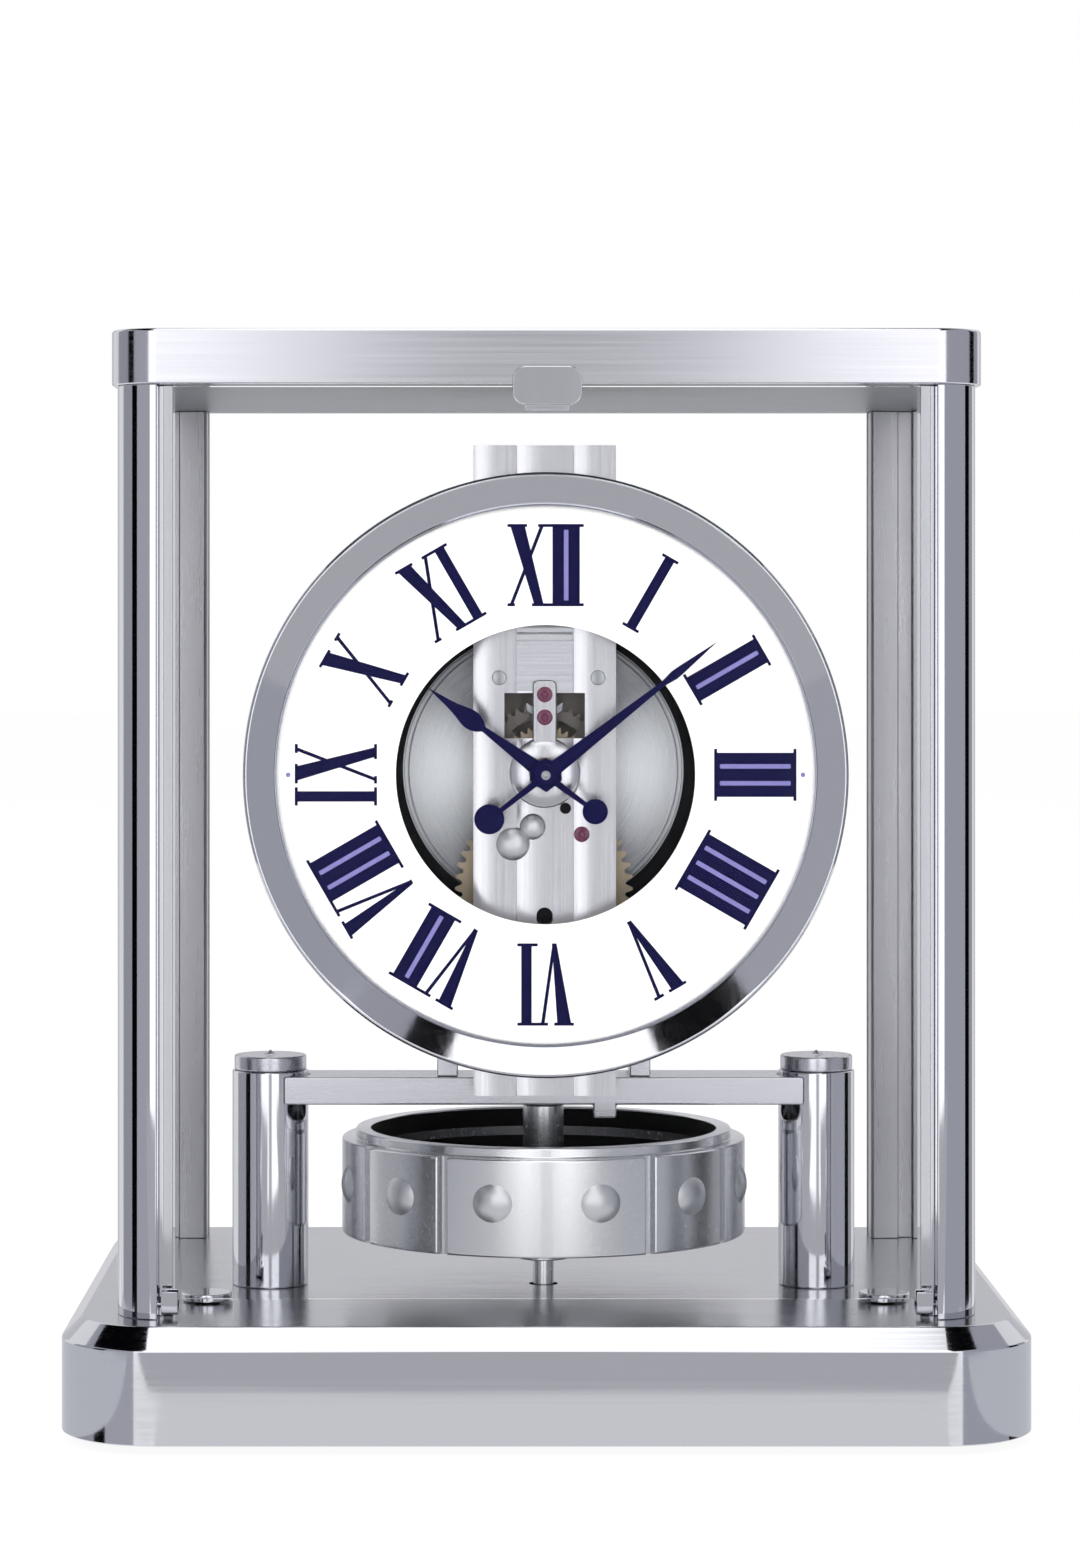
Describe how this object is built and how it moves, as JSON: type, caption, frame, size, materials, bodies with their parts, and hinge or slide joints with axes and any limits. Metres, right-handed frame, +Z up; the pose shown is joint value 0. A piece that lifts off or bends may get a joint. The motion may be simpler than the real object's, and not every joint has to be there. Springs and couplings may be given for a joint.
{
  "type": "atmospheric clock",
  "caption": "Glazed mantel clock on a bevelled plinth, with a round numbered dial, a sealed bellows drum and a slow torsion balance ring.",
  "frame": {"origin": "centre of the bounding box's bottom face, on the table under the middle of the plinth", "axes": "+Z up, the dial faces -Y, +X to the right as the dial is read"},
  "size_m": [0.2038, 0.1538, 0.2326],
  "materials": {
    "polished_plate": "polished rhodium plate on brass",
    "satin_plate": "satin brushed rhodium plate on brass",
    "brass": "lacquered brass",
    "steel": "turned steel",
    "hand_enamel": "navy enamelled brass",
    "dial_enamel": "off-white lacquered brass",
    "pane_glass": "clear float glass with polished edges",
    "foot_rubber": "moulded rubber"
  },
  "bodies": {
    "case": {"base_plinth": "polished_plate", "bottom_cover": "satin_plate", "rear_foot": "foot_rubber", "post_front_left": "polished_plate", "post_front_right": "polished_plate", "post_rear_left": "polished_plate", "post_rear_right": "polished_plate", "top_cap": "satin_plate", "cap_liner": "satin_plate", "glass_left": "pane_glass", "glass_right": "pane_glass", "glass_rear": "pane_glass", "pillar_left": "polished_plate", "pillar_right": "polished_plate", "pillar_cap_left": "satin_plate", "pillar_cap_right": "satin_plate", "bridge_bar": "satin_plate", "movement_plate": "satin_plate", "train_plate": "satin_plate", "escapement_cock": "satin_plate", "dial_ring": "dial_enamel", "bezel": "polished_plate", "drum_housing": "satin_plate", "drum_lid": "satin_plate", "bellows": "brass", "suspension_bracket": "brass", "suspension_wire": "steel"},
    "door": {"front_glass": "pane_glass", "door_clip_left": "polished_plate", "door_clip_right": "polished_plate", "door_catch": "polished_plate"},
    "level_left": {"level_screw_left": "polished_plate"},
    "level_right": {"level_screw_right": "polished_plate"},
    "lever": {"lock_lever": "steel"},
    "cup": {"lock_cup": "steel"},
    "minute_work": {"centre_arbor": "steel", "centre_wheel": "brass", "cannon_pinion": "steel", "minute_hand": "hand_enamel"},
    "hour_work": {"hour_wheel": "brass", "hour_hand": "hand_enamel"},
    "minute_wheel_body": {"minute_wheel": "brass"},
    "barrel": {"barrel_wheel": "brass"},
    "escapement": {"escape_wheel": "brass"},
    "anchor": {"pallet_anchor": "steel"},
    "pressure_plate": {"bellows_plate": "steel"},
    "balance": {"balance_ring": "polished_plate", "balance_staff": "polished_plate", "balance_weight_1": "polished_plate", "balance_weight_2": "polished_plate", "balance_weight_3": "polished_plate", "balance_weight_4": "polished_plate", "balance_weight_5": "polished_plate", "balance_weight_6": "polished_plate", "balance_weight_7": "polished_plate", "balance_weight_8": "polished_plate", "balance_weight_9": "polished_plate", "balance_weight_10": "polished_plate", "balance_weight_11": "polished_plate", "balance_weight_12": "polished_plate"}
  },
  "joints": [
    {"name": "door_tilt", "type": "hinge", "parent": "case", "child": "door", "pos_m": [0, -0.0632, 0.0289], "axis": [1, 0, 0], "range_deg": [0, 70]},
    {"name": "level_left_turn", "type": "hinge", "parent": "case", "child": "level_left", "pos_m": [-0.0724, -0.042, 0.01], "axis": [0, 0, 1], "range_deg": [-180, 180]},
    {"name": "level_right_turn", "type": "hinge", "parent": "case", "child": "level_right", "pos_m": [0.0724, -0.042, 0.01], "axis": [0, 0, 1], "range_deg": [-180, 180]},
    {"name": "lock_lever_turn", "type": "hinge", "parent": "case", "child": "lever", "pos_m": [0, -0.0155, 0.012], "axis": [0, 0, 1], "range_deg": [0, 20]},
    {"name": "lock_cup_lift", "type": "slide", "parent": "case", "child": "cup", "axis": [0, 0, 1], "range_m": [0, 0.0012]},
    {"name": "minute_turn", "type": "hinge", "parent": "case", "child": "minute_work", "pos_m": [0, -0.03, 0.1388], "axis": [0, 1, 0], "continuous": true},
    {"name": "hour_turn", "type": "hinge", "parent": "case", "child": "hour_work", "pos_m": [0, -0.03, 0.1388], "axis": [0, 1, 0], "continuous": true},
    {"name": "minute_wheel_turn", "type": "hinge", "parent": "case", "child": "minute_wheel_body", "pos_m": [0, -0.026, 0.1268], "axis": [0, 1, 0], "continuous": true},
    {"name": "barrel_turn", "type": "hinge", "parent": "case", "child": "barrel", "pos_m": [0, -0.023, 0.1138], "axis": [0, 1, 0], "continuous": true},
    {"name": "escape_turn", "type": "hinge", "parent": "case", "child": "escapement", "pos_m": [0, -0.025, 0.156], "axis": [0, 1, 0], "continuous": true},
    {"name": "anchor_rock", "type": "hinge", "parent": "case", "child": "anchor", "pos_m": [0, -0.029, 0.151], "axis": [0, 1, 0], "range_deg": [-3, 3]},
    {"name": "bellows_breath", "type": "slide", "parent": "case", "child": "pressure_plate", "axis": [0, 1, 0], "range_m": [0, 0.006]},
    {"name": "balance_swing", "type": "hinge", "parent": "case", "child": "balance", "pos_m": [0, -0.0155, 0.048], "axis": [0, 0, 1], "range_deg": [-270, 270], "stiffness_Nm_per_rad": 0.0000035}
  ],
  "couplings": [
    {"joint": "lock_cup_lift", "follows": "lock_lever_turn", "m_per_rad": 0.0034377},
    {"joint": "hour_turn", "follows": "minute_turn", "ratio": 0.083333},
    {"joint": "minute_wheel_turn", "follows": "minute_turn", "ratio": -0.33333},
    {"joint": "barrel_turn", "follows": "minute_turn", "ratio": -0.33333},
    {"joint": "escape_turn", "follows": "minute_turn", "ratio": -5}
  ]
}
